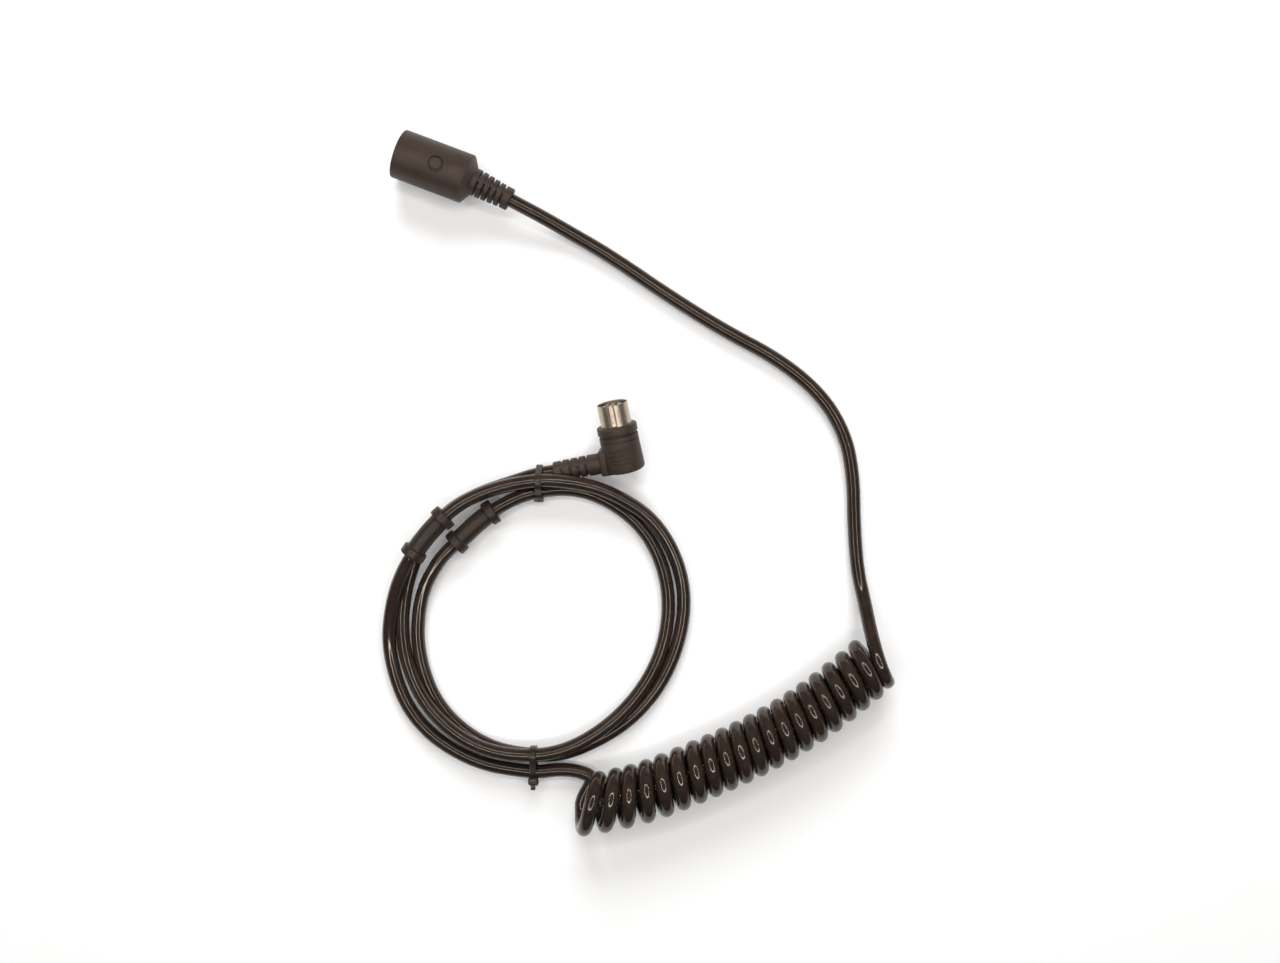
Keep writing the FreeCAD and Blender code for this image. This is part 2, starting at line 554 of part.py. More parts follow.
plug, relief_end = plug_parts()
plug_place = plug_placement()
for name, shape in plug.items():
    shape = shape.copy()
    shape.Placement = plug_place.multiply(shape.Placement)
    nodes[name] = shape

lead_start = socket_place.multVec(socket_exit)
plug_exit = plug_place.multVec(relief_end)
plug_boot = plug_place.Rotation.multVec(V(0, 1, 0))
print("lead starts at %.2f %.2f %.2f" % tuple(lead_start))
print("plug's relief ends at %.2f %.2f %.2f" % tuple(plug_exit))
print("plug's mouth at %.2f %.2f %.2f" % tuple(plug_place.multVec(V(0, 0, 0))))

straight = swept([tuple(lead_start)] + STRAIGHT_LEAD + [LEAD_END], CABLE_R, "straight_lead")
link = swept(LINK_LEAD, CABLE_R, "link_lead")
plug_lead_end = on_ring(INNER_STRAND[-2])
plug_lead = swept([tuple(plug_exit), on_ring(INNER_STRAND[-1]), plug_lead_end], CABLE_R, "plug_lead")
curl = swept(CURL_AXIS, CURL_D / 2, "curl")
nodes["straight_lead"] = straight
nodes["link_lead"] = link
nodes["plug_lead"] = plug_lead
nodes["curl"] = single(curl.cut(straight).cut(link))

nodes["grommet_a"] = grommet(OUTER_STRAND[5], OUTER_STRAND[6])
nodes["grommet_b"] = grommet(MIDDLE_STRAND[6], MIDDLE_STRAND[7])
tie_top = cable_tie(TIE_TOP_AT, TIE_TOP_STRANDS, TIE_TOP_HEAD, TIE_TOP_TAIL)
nodes["tie_top"] = single(tie_top.cut(plug_lead))
nodes["tie_bottom"] = cable_tie(TIE_BOTTOM_AT, TIE_BOTTOM_STRANDS, TIE_BOTTOM_HEAD,
                                TIE_BOTTOM_TAIL)

coil = ring_coil()
for name in ("link_lead", "plug_lead", "grommet_a", "grommet_b", "tie_top", "tie_bottom"):
    coil = coil.cut(nodes[name])
coil = coil.cut(cyl(P_RELIEF_ROOT_R + RELIEF_ROOM, P_RELIEF_END - BLOCK_OUT, plug_exit, plug_boot * -1))
print("ring solids", [round(s.Volume) for s in coil.Solids])
nodes["ring_coil"] = max(coil.Solids, key=lambda s: s.Volume)

os.makedirs("parts", exist_ok=True)
for name, shape in nodes.items():
    if not shape.isValid() or len(shape.Solids) != 1:
        print("CHECK", name, "valid", shape.isValid(), "solids", len(shape.Solids))
    box = shape.optimalBoundingBox()
    print("%-20s x %.1f..%.1f y %.1f..%.1f z %.2f..%.2f vol %.1f" % (
        name, box.XMin, box.XMax, box.YMin, box.YMax, box.ZMin, box.ZMax, shape.Volume))
    shape.exportStep("parts/%s.step" % name)
print(len(nodes), "nodes")
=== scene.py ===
import bpy
import bmesh
import math
from mathutils import Matrix, Vector


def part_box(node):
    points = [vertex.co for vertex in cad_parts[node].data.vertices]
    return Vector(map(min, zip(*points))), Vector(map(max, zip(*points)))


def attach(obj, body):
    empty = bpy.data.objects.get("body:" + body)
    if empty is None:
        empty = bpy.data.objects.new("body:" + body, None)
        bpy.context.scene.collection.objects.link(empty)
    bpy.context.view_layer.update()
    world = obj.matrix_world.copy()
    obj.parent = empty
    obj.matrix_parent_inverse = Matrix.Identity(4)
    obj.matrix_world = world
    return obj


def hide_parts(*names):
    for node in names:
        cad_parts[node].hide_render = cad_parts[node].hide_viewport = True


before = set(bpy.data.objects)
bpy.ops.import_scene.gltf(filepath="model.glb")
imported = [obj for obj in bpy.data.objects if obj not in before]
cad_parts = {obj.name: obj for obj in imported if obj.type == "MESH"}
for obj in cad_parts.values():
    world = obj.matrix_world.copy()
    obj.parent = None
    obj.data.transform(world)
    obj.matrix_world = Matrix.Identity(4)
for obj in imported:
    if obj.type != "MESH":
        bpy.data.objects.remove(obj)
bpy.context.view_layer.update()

MM = 0.001
UP = Vector((0, 0, 1))

# ---------------------------------------------------------------- sizes, in millimetres
CABLE_R = 2.9
CABLE_BORE_R = 3.1                      # mouths of the reliefs, round the jacket
GROUND_GAP = 0.02                       # least height of the jacket over the ground

SOCKET_R = 10.6
MOUTH_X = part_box("socket_overmould")[0][0] / MM
SOCKET_BODY, SHOULDER_LEN = 34.3, 2.95
RECESS_R, RECESS_DEPTH = 8.9, 5.0
SHIELD_R = 7.35
SOCKET_HOLLOW_END, CORE_WAY_R = 31.5, 2.0
MARK_X, MARK_R, MARK_H = 18.4, 3.7, 0.35
MARK_STEPS = [(1.0, -0.3), (1.0, 0.2), (0.99, 0.3), (0.96, MARK_H), (0.8, MARK_H), (0.77, 0.3),
              (0.76, 0.2), (0.755, 0.02), (0.5, 0.02), (0.25, 0.02)]    # share of the radius, height
MARK_SHADE_LINE = 0.77                        # where the painted shade runs round the mark, as a share of the radius
S_RELIEF = dict(start=-2.5, end=17.5, root=5.9, tip=4.9, plain=1.9, collar_r=4.9, collar=3.4,
                slots=5, slot_w=0.9)
S_RELIEF_TURN, S_RELIEF_DROOP, S_WEB_ROLL = -5.5, -4.0, -12.0

SHELL_R, SHELL_WALL, SHELL_FREE, SHELL_LEN = 6.6, 0.35, 9.5, 16.5
SHELL_SEAT_R = 6.3
KEY_W, KEY_DEPTH, KEY_LEN = 2.2, 0.8, 9.15
FLANGE_R, FLANGE_LEN = 8.65, 3.6
GROOVE_R, GROOVE_LEN = 7.45, 0.9
LIP_R, LIP_LEN = 8.4, 2.0
LINE_R, LINE_LEN = 8.1, 0.35
BODY_TOP_R, BODY_END_R = 8.4, 8.75
PLUG_LEN, BLIND_ROUND = 29.9, 2.0
RELIEF_UP = 4.7
BLOCK_LEN, BLOCK_H, BLOCK_IN, BLOCK_OUT, BLOCK_PAST = 11.0, 10.0, 3.0, 10.0, 0.3
P_RELIEF = dict(start=9.0, end=30.5, root=4.6, tip=4.2, plain=15.4, collar_r=4.1, collar=3.3,
                slots=4, slot_w=1.0)
P_WEB_ROLL = 32.0
PLUG_BLIND = Vector((112.7, -92.9, 8.5))
PLUG_HEADING, PLUG_TILT, PLUG_ROLL = 122.0, 14.0, 8.0
RIDGES, RIDGE_PITCH, RIDGE_W, RIDGE_SPAN, RIDGE_H, RIDGE_FIRST = 5, 1.9, 0.8, 8.0, 0.35, 3.7
RELIEF_CORE_R, RELIEF_MOUTH, WEB_W = 3.55, 1.5, 2.0

PIN_CIRCLE_R, PIN_R, PIN_TIP, PIN_END, PIN_TAIL = 3.5, 0.725, 0.8, 14.5, 2.5
CONTACT_R, CONTACT_BORE_R, TAIL_R = 1.1, 0.75, 0.5
PIN_SITES = [(0.0, 0.0)] + [
    (PIN_CIRCLE_R * math.cos(math.radians(90 + 45 * k)), PIN_CIRCLE_R * math.sin(math.radians(90 + 45 * k)))
    for k in range(-3, 4)]

GROMMET_LEN, GROMMET_R, GROMMET_FLANGE_R, GROMMET_FLANGE, GROMMET_BORE_R = 23.2, 4.2, 5.5, 3.8, 3.3
TIE_W, TIE_T, TIE_TAIL_W, TIE_GAP = 2.8, 1.1, 2.0, 0.12
TIE_HEAD, TIE_HEAD_OUT = (4.4, 4.9), 0.5

# ---------------------------------------------------------------- the cable's way
CABLE_START = (25.58, -1.67, 9.38)
STRAIGHT_LEAD = [
    (38.5, -3.1, 8.2), (52.0, -4.7, 4.0), (74.0, -8.2, 2.9), (104.0, -15.6, 2.9),
    (132.0, -21.2, 2.9), (158.0, -24.4, 2.9), (181.0, -32.3, 2.9), (197.0, -45.2, 2.9),
    (206.6, -61.5, 2.9), (213.8, -80.0, 2.9), (222.0, -98.0, 3.4), (228.9, -109.2, 6.4),
    (235.0, -121.0, 14.5), (241.0, -130.8, 21.0), (247.2, -137.2, 19.0)]
CURL_AXIS = [
    (141.9, -235.5, 12.6), (163.1, -224.4, 12.6), (185.6, -204.1, 12.6), (205.1, -185.1, 12.6),
    (221.1, -165.9, 12.6), (233.6, -146.4, 12.6), (242.8, -129.7, 12.6)]
TURN_R, TURN_R_WIDE = 9.45, 10.05       # upright and level half sizes of a turn, to the cable's middle
TURN_GAIN = 1.0194                      # the curve runs inside its points by this much on a turn
TURN_POINTS = 16
TURN_STEPS = [8.6, 8.0, 8.0, 7.5, 7.6, 7.5, 7.0, 6.9, 6.9, 6.9, 7.0, 7.0, 7.0, 6.9, 7.2, 7.2, 7.4, 7.3, 7.2]
FIRST_TURN_AT = 8.2
LEAN, LEAN_FIRST, LEAN_LAST = 0.8, 1.2, 2.8
SWELL, SWELL_CURLS = 1.03, 1.08        # jacket radius over the nominal one, on the runs and in the curls
LINK_LEAD = [(147.2, -222.6, 2.9), (139.0, -222.4, 2.9), (130.4, -225.1, 3.1)]
RING_CENTRE = (99.75, -169.9)
OUTER_STRAND = [
    (290, 63.8, 4.0), (265, 65.8, 2.9), (238, 67.8, 2.9), (211, 65.6, 2.9), (189, 63.0, 6.5),
    (170.2, 61.5, 11.5), (147.2, 62.2, 11.5), (131, 62.4, 9.8), (112, 63.2, 9.8), (98, 64.4, 11.2),
    (82, 67.0, 8.9), (60, 70.3, 6.2), (34, 68.3, 2.9), (6, 62.7, 2.9), (-22, 59.5, 2.9),
    (-51, 57.7, 2.9)]
MIDDLE_STRAND = [
    (-69, 56.8, 4.0), (-93, 57.2, 2.9), (-120, 55.8, 2.9), (-148, 52.8, 2.9), (-174, 51.8, 3.4),
    (-192, 50.6, 5.2), (-203.5, 49.8, 5.6), (-228.6, 53.8, 5.6), (-250, 59.4, 4.0),
    (-272, 64.0, 2.9), (-298, 64.6, 2.9), (-324, 61.2, 2.9), (-352, 57.0, 3.4)]
INNER_STRAND = [
    (-380, 54.2, 5.6), (-408, 54.8, 8.9), (-430, 56.2, 9.9), (-456, 58.4, 9.0), (-482, 58.7, 8.0),
    (-507, 58.8, 3.6), (-530, 59.0, 2.9), (-554, 61.4, 2.9), (-572, 63.0, 2.9), (-586, 62.6, 2.9),
    (-599, 63.0, 3.2), (-610.3, 66.0, 4.3)]
CABLE_END = (84.13, -104.17, 5.52)


# ================================================================ node trees
class Term:
    """One output socket; arithmetic on it adds Math nodes."""

    def __init__(self, graph, socket):
        self.graph, self.socket = graph, socket

    def _math(self, operation, *values):
        return self.graph.add("ShaderNodeMath", {"operation": operation}, dict(enumerate(values)))

    def __add__(self, other):
        return self._math("ADD", self, other)

    def __sub__(self, other):
        return self._math("SUBTRACT", self, other)

    def __rsub__(self, other):
        return self._math("SUBTRACT", other, self)

    def __mul__(self, other):
        return self._math("MULTIPLY", self, other)

    def __truediv__(self, other):
        return self._math("DIVIDE", self, other)

    def __pow__(self, other):
        return self._math("POWER", self, other)

    __radd__, __rmul__ = __add__, __mul__

    def band(self, low, high):
        """0 below low, 1 above high, smooth between."""
        return self.graph.add("ShaderNodeMapRange", {"interpolation_type": "SMOOTHSTEP"},
                              {"Value": self, "From Min": low, "From Max": high})


class Graph:
    """Adds nodes to one tree."""

    def __init__(self, tree):
        self.tree = tree

    def add(self, kind, settings=None, inputs=None, out=0):
        node = self.tree.nodes.new(kind)
        for key, value in (settings or {}).items():
            setattr(node, key, value)
        for key, value in (inputs or {}).items():
            if isinstance(value, Term):
                self.tree.links.new(value.socket, node.inputs[key])
            else:
                node.inputs[key].default_value = value
        return Term(self, node.outputs[out])

    def also(self, term, out):
        """Another output of the node a term comes from."""
        return Term(self, term.socket.node.outputs[out])


def finish_node(name, roughness, metallic=0.0):
    """A new material with its Principled shader and output; returns material, graph, shader node."""
    material = bpy.data.materials.new(name)
    material.use_nodes = True
    tree = material.node_tree
    tree.nodes.clear()
    graph = Graph(tree)
    shader = graph.add("ShaderNodeBsdfPrincipled", None,
                       {"Roughness": roughness, "Metallic": metallic})
    output = tree.nodes.new("ShaderNodeOutputMaterial")
    tree.links.new(shader.socket, output.inputs["Surface"])
    return material, graph, shader.socket.node


def noise(graph, where, scale, detail=2.0, rough=0.5):
    return graph.add("ShaderNodeTexNoise", None,
                     {"Vector": where, "Scale": scale, "Detail": detail, "Roughness": rough})


def blend(graph, share, first, second):
    """Colour between two colours or links."""
    return graph.add("ShaderNodeMix", {"data_type": "RGBA"}, {0: share, 6: first, 7: second}, 2)


def shade(colour, factor):
    return (*[c * factor for c in colour], 1)


# noise scales, per metre, and colours: dust that lies on the surface, the dark of the painted shade round
# the socket's mark, and the tint of the gloss
DRIFT, CLOUDS, GRAIN, SPECKS, DUSTY_AREAS = 90.0, 420.0, 2600.0, 1500.0, 60.0
DRAWN_MARKS, TARNISH = 5200.0, 700.0
DUST_COLOUR, MARK_SHADE_COLOUR = (0.42, 0.38, 0.34, 1), (0.004, 0.003, 0.0025, 1)
WARM_GLOSS = (1.0, 0.9, 0.79, 1)


def moulded(name, colour, rough, grain, dust=0.06, tone=0.25, gloss_spread=0.08, shine=0.5, mark=None):
    """Moulded or extruded plastic: tone drift, fine grain, dust in the pores, painted shade round a raised
    mark.
    """
    material, graph, shader = finish_node(name, rough)
    shader.inputs["Specular IOR Level"].default_value = shine
    shader.inputs["Specular Tint"].default_value = WARM_GLOSS
    where = graph.add("ShaderNodeTexCoord", out=3)
    drift = noise(graph, where, DRIFT, 3.0)
    fine = noise(graph, where, GRAIN, 2.0, 0.6)
    broad = noise(graph, where, CLOUDS, 3.0, 0.55)
    dusty_areas = noise(graph, where, DUSTY_AREAS).band(0.42, 0.7)
    specks = noise(graph, where, SPECKS, 1.0).band(0.66, 0.74) * dusty_areas
    share = (drift * 0.6 + broad * 0.4).band(0.3, 0.7)
    tint = blend(graph, share, shade(colour, 1 - tone), shade(colour, 1 + tone))
    dust_and_mark_shade = blend(graph, specks * dust, tint, DUST_COLOUR)
    # painted shade along the raised mark's edge, where its shading would fall dark
    if mark:
        dust_and_mark_shade = painted_mark_shade(graph, dust_and_mark_shade, where, *mark)
    tree = graph.tree
    tree.links.new(dust_and_mark_shade.socket, shader.inputs["Base Color"])
    gloss = (broad - 0.5) * gloss_spread + specks * 0.2 + rough
    tree.links.new(gloss.socket, shader.inputs["Roughness"])
    bump = graph.add("ShaderNodeBump", None, {"Strength": 1.0, "Distance": 1.0, "Height": fine * grain})
    tree.links.new(bump.socket, shader.inputs["Normal"])
    return material


def painted_mark_shade(graph, colour, where, middle, radius, low):
    """Painted shade: darker along the inner edge of a round raised mark seen from above, only over a
    height.
    """
    axes = graph.add("ShaderNodeSeparateXYZ", None, {"Vector": where})
    x, y, z = axes, graph.also(axes, "Y"), graph.also(axes, "Z")
    away = ((x - middle[0]) ** 2.0 + (y - middle[1]) ** 2.0) ** 0.5 - radius
    line = (away * away) ** 0.5
    shade_amount = (1.0 - line.band(0.00018, 0.0006)) * z.band(low, low + 0.001)
    return blend(graph, shade_amount * 0.85, colour, MARK_SHADE_COLOUR)


def plated(name, colour, rough, place):
    """Plated metal with fine marks along the plug's axis."""
    material, graph, shader = finish_node(name, rough, metallic=1.0)
    where = graph.add("ShaderNodeTexCoord", out=3)
    local = graph.add("ShaderNodeMapping", {"vector_type": "TEXTURE"},
                      {"Vector": where, "Location": place.translation, "Rotation": place.to_euler()})
    drawn = graph.add("ShaderNodeMapping", None, {"Vector": local, "Scale": (0.06, 1.0, 1.0)})
    marks = noise(graph, drawn, DRAWN_MARKS, 2.0, 0.6)
    cloud = noise(graph, where, TARNISH, 3.0)
    tint = blend(graph, cloud.band(0.35, 0.75), shade(colour, 1.0), shade(colour, 0.86))
    tree = graph.tree
    tree.links.new(tint.socket, shader.inputs["Base Color"])
    gloss = rough + (marks - 0.5) * 0.1 + cloud.band(0.55, 0.85) * 0.03
    tree.links.new(gloss.socket, shader.inputs["Roughness"])
    bump = graph.add("ShaderNodeBump", None, {"Strength": 1.0, "Distance": 1.0, "Height": marks * 0.000006})
    tree.links.new(bump.socket, shader.inputs["Normal"])
    return material


# ================================================================ mesh pieces
def softened(corners, steps=4):
    """Outline of (along, out, radius) corners, each rounded by its radius."""
    outline = []
    for k, (along, out, soft) in enumerate(corners):
        here = Vector((along, out))
        back = Vector(corners[k - 1][:2]) - here
        fore = Vector(corners[(k + 1) % len(corners)][:2]) - here
        if soft <= 0:
            outline.append(here)
            continue
        cut = min(soft / math.tan(back.angle(fore) / 2), 0.48 * back.length, 0.48 * fore.length)
        a, b = here + back.normalized() * cut, here + fore.normalized() * cut
        for step in range(steps + 1):
            t = step / steps
            outline.append(a.lerp(here, t).lerp(here.lerp(b, t), t))
    return outline


def skin(bm, rows, closed=True):
    """Adds faces between rows of vertices that are loops; closed joins the last row to the first."""
    for here, after in zip(rows, rows[1:] + rows[:1] if closed else rows[1:]):
        for k in range(len(here)):
            m = (k + 1) % len(here)
            bm.faces.new((here[k], here[m], after[m], after[k]))
    if not closed:
        bm.faces.new(rows[0])
        bm.faces.new(rows[-1])


def lathe(bm, corners, place, sides=96, steps=4):
    """Adds a closed solid turned about X; corners are (x, r, rounding) in millimetres."""
    outline = softened(corners, steps)
    rings = []
    for side in range(sides):
        angle = 2 * math.pi * side / sides
        rings.append([bm.verts.new(place @ Vector((p.x, p.y * math.cos(angle), p.y * math.sin(angle))))
                      for p in outline])
    for side in range(sides):
        here, after = rings[side], rings[(side + 1) % sides]
        for k in range(len(outline)):
            m = (k + 1) % len(outline)
            if outline[k].y < 1e-6 and outline[m].y < 1e-6:
                continue
            bm.faces.new((here[k], here[m], after[m], after[k]))


def rounded_box(bm, low, high, soft, place, segments=3):
    """Adds a box with rounded edges between two corners in millimetres."""
    size = Vector(high) - Vector(low)
    centre = (Vector(high) + Vector(low)) / 2
    stretch = Matrix.Translation(centre) @ Matrix.Diagonal((*size, 1))
    made = bmesh.ops.create_cube(bm, size=1.0, matrix=stretch)
    edges = {e for v in made["verts"] for e in v.link_edges}
    done = bmesh.ops.bevel(bm, geom=list(edges), offset=soft, segments=segments, profile=0.5,
                           affect="EDGES")
    corners = {v for f in done["faces"] for v in f.verts} | {v for v in made["verts"] if v.is_valid}
    for vert in corners:
        vert.co = place @ vert.co


def piece(name, bm, material, sharp=38):
    """Mesh in millimetres to a smooth object in metres, flat where it meets the ground."""
    for vert in bm.verts:
        vert.co.z = max(vert.co.z, 0.0)
    bmesh.ops.remove_doubles(bm, verts=bm.verts, dist=0.0005)
    bmesh.ops.dissolve_degenerate(bm, edges=bm.edges, dist=0.0001)
    bmesh.ops.recalc_face_normals(bm, faces=bm.faces)
    bmesh.ops.scale(bm, vec=(MM, MM, MM), verts=bm.verts)
    data = bpy.data.meshes.new(name)
    bm.to_mesh(data)
    bm.free()
    data.materials.append(material)
    data.shade_smooth()
    data.set_sharp_from_angle(angle=math.radians(sharp))
    return dressed(bpy.data.objects.new(name, data))


def dressed(obj):
    """Links an object once and lets it ride on the lead."""
    if obj.name not in bpy.context.scene.collection.all_objects:
        bpy.context.scene.collection.objects.link(obj)
    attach(obj, "root")
    return obj


# ================================================================ repeats, as geometry nodes
def copies_tree():
    """Copies of a pattern object in a row along X, its width and height tapering along the row."""
    tree = bpy.data.node_groups.new("row_of_copies", "GeometryNodeTree")
    face = tree.interface
    face.new_socket("Geometry", in_out="OUTPUT", socket_type="NodeSocketGeometry")
    for label, kind in (("Geometry", "Geometry"), ("Pattern", "Object"), ("Count", "Int"),
                        ("Start", "Float"), ("Pitch", "Float"), ("First Size", "Float"),
                        ("Last Size", "Float"), ("Finish", "Material")):
        face.new_socket(label, in_out="INPUT", socket_type="NodeSocket" + kind)
    graph = Graph(tree)
    given = tree.nodes.new("NodeGroupInput")
    value = {s.name: Term(graph, s) for s in given.outputs if s.name}
    start = graph.add("ShaderNodeCombineXYZ", None, {"X": value["Start"]})
    step = graph.add("ShaderNodeCombineXYZ", None, {"X": value["Pitch"]})
    row = graph.add("GeometryNodeMeshLine", {"mode": "OFFSET"},
                    {"Count": value["Count"], "Start Location": start, "Offset": step})
    index = graph.add("GeometryNodeInputIndex")
    share = index / (value["Count"] - 1)
    size = value["First Size"] + (value["Last Size"] - value["First Size"]) * share
    scale = graph.add("ShaderNodeCombineXYZ", None, {"X": 1.0, "Y": size, "Z": size})
    pattern = graph.add("GeometryNodeObjectInfo", None, {"Object": value["Pattern"]}, "Geometry")
    placed = graph.add("GeometryNodeInstanceOnPoints", None,
                       {"Points": row, "Instance": pattern, "Scale": scale})
    real = graph.add("GeometryNodeRealizeInstances", None, {"Geometry": placed})
    done = graph.add("GeometryNodeSetMaterial", None, {"Geometry": real, "Material": value["Finish"]})
    output = tree.nodes.new("NodeGroupOutput")
    tree.links.new(done.socket, output.inputs["Geometry"])
    return tree


def sites_tree():
    """A copy of a pattern object at each vertex of the carrier mesh."""
    tree = bpy.data.node_groups.new("copies_on_sites", "GeometryNodeTree")
    face = tree.interface
    face.new_socket("Geometry", in_out="OUTPUT", socket_type="NodeSocketGeometry")
    for label, kind in (("Geometry", "Geometry"), ("Pattern", "Object"), ("Finish", "Material")):
        face.new_socket(label, in_out="INPUT", socket_type="NodeSocket" + kind)
    graph = Graph(tree)
    given = tree.nodes.new("NodeGroupInput")
    value = {s.name: Term(graph, s) for s in given.outputs if s.name}
    pattern = graph.add("GeometryNodeObjectInfo", None, {"Object": value["Pattern"]}, "Geometry")
    placed = graph.add("GeometryNodeInstanceOnPoints", None,
                       {"Points": value["Geometry"], "Instance": pattern})
    real = graph.add("GeometryNodeRealizeInstances", None, {"Geometry": placed})
    done = graph.add("GeometryNodeSetMaterial", None, {"Geometry": real, "Material": value["Finish"]})
    output = tree.nodes.new("NodeGroupOutput")
    tree.links.new(done.socket, output.inputs["Geometry"])
    return tree


ROW = copies_tree()
SITES = sites_tree()


def run_tree(tree, carrier, values):
    """The evaluated result of a node tree on a carrier mesh, as a new mesh."""
    obj = bpy.data.objects.new("carrier", carrier)
    bpy.context.scene.collection.objects.link(obj)
    modifier = obj.modifiers.new("copies", "NODES")
    modifier.node_group = tree
    for item in tree.interface.items_tree:
        if item.item_type == "SOCKET" and item.in_out == "INPUT" and item.name in values:
            modifier[item.identifier] = values[item.name]
    bpy.context.view_layer.update()
    evaluated = obj.evaluated_get(bpy.context.evaluated_depsgraph_get())
    data = bpy.data.meshes.new_from_object(evaluated)
    bpy.data.objects.remove(obj)
    return data


def pattern_object(bm, material):
    """A pattern for copies: kept only while they are made."""
    bmesh.ops.remove_doubles(bm, verts=bm.verts, dist=0.0005)
    bmesh.ops.recalc_face_normals(bm, faces=bm.faces)
    data = bpy.data.meshes.new("pattern")
    bm.to_mesh(data)
    bm.free()
    data.materials.append(material)
    return bpy.data.objects.new("pattern", data)


def row_of(bm, pattern, place, finish, **values):
    """Adds a row of copies of a pattern, made along X, to a mesh in millimetres."""
    empty = bpy.data.meshes.new("row")
    data = run_tree(ROW, empty, {"Pattern": pattern, "Finish": finish, **values})
    data.transform(place)
    bm.from_mesh(data)
    bpy.data.meshes.remove(data)
    bpy.data.objects.remove(pattern)


def on_sites(bm, pattern, place, finish, sites):
    """Adds a copy of a pattern at each site of the contact layout."""
    carrier = bpy.data.meshes.new("sites")
    carrier.from_pydata([(0, y, z) for y, z in sites], [], [])
    data = run_tree(SITES, carrier, {"Pattern": pattern, "Finish": finish})
    data.transform(place)
    bm.from_mesh(data)
    bpy.data.meshes.remove(data)
    bpy.data.objects.remove(pattern)


# ================================================================ places
def heading(deg, rise=0.0):
    a, b = math.radians(deg), math.radians(rise)
    return Vector((math.cos(a) * math.cos(b), math.sin(a) * math.cos(b), math.sin(b)))


def frame_of(origin, along, across):
    """Matrix with X along and Y across."""
    x = along.normalized()
    z = x.cross(across).normalized()
    y = z.cross(x)
    return Matrix.Translation(origin) @ Matrix((x, y, z)).transposed().to_4x4()


SOCKET_PLACE = Matrix.Translation((MOUTH_X, 0, SOCKET_R))
S_ALONG = heading(S_RELIEF_TURN, S_RELIEF_DROOP)
S_RELIEF_PLACE = (SOCKET_PLACE @ frame_of(Vector((SOCKET_BODY, 0, 0)), S_ALONG, Vector((0, 1, 0)))
                  @ Matrix.Rotation(math.radians(S_WEB_ROLL), 4, "X"))

FORWARD = heading(PLUG_HEADING, PLUG_TILT)
LEVEL = heading(PLUG_HEADING + 90)
BOOT = (LEVEL * math.cos(math.radians(PLUG_ROLL))
        - FORWARD.cross(LEVEL) * math.sin(math.radians(PLUG_ROLL)))
PLUG_PLACE = frame_of(PLUG_BLIND + FORWARD * PLUG_LEN, -FORWARD, BOOT)
P_RELIEF_PLACE = (PLUG_PLACE
                  @ frame_of(Vector((PLUG_LEN - RELIEF_UP, 0, 0)), Vector((0, 1, 0)), Vector((-1, 0, 0)))
                  @ Matrix.Rotation(math.radians(P_WEB_ROLL), 4, "X"))

# ================================================================ finishes
JACKET = moulded("cable_jacket", (0.0265, 0.0172, 0.0132), 0.11, 0.0000006, dust=0.04,
                 gloss_spread=0.012, shine=0.52)
# the moulding gets painted shade round the raised mark on the socket
MARK_AT = ((MOUTH_X + MARK_X) * MM, 0.0)
MOULDING = moulded("moulding", (0.0425, 0.0293, 0.0235), 0.5, 0.00001, dust=0.12, tone=0.18, shine=0.38,
                   mark=(MARK_AT, MARK_SHADE_LINE * MARK_R * MM, 1.9 * SOCKET_R * MM))
GROMMET = moulded("grommet_rubber", (0.026, 0.0178, 0.0143), 0.4, 0.000006, dust=0.08, tone=0.2, shine=0.38)
NYLON = moulded("tie_nylon", (0.022, 0.0158, 0.0132), 0.33, 0.000003, dust=0.06, shine=0.5)
NICKEL = plated("shell_nickel", (0.56, 0.47, 0.37), 0.38, PLUG_PLACE)
BRASS = plated("contact_brass", (0.84, 0.77, 0.62), 0.2, PLUG_PLACE)
STEEL = plated("clamp_steel", (0.5, 0.49, 0.47), 0.35, PLUG_PLACE)
BLOCK = moulded("insulator", (0.03, 0.027, 0.025), 0.55, 0.00001)
INNER = moulded("inner_mould", (0.28, 0.26, 0.24), 0.6, 0.00001)
CORE = moulded("core_insulation", (0.6, 0.57, 0.5), 0.35, 0.000003)


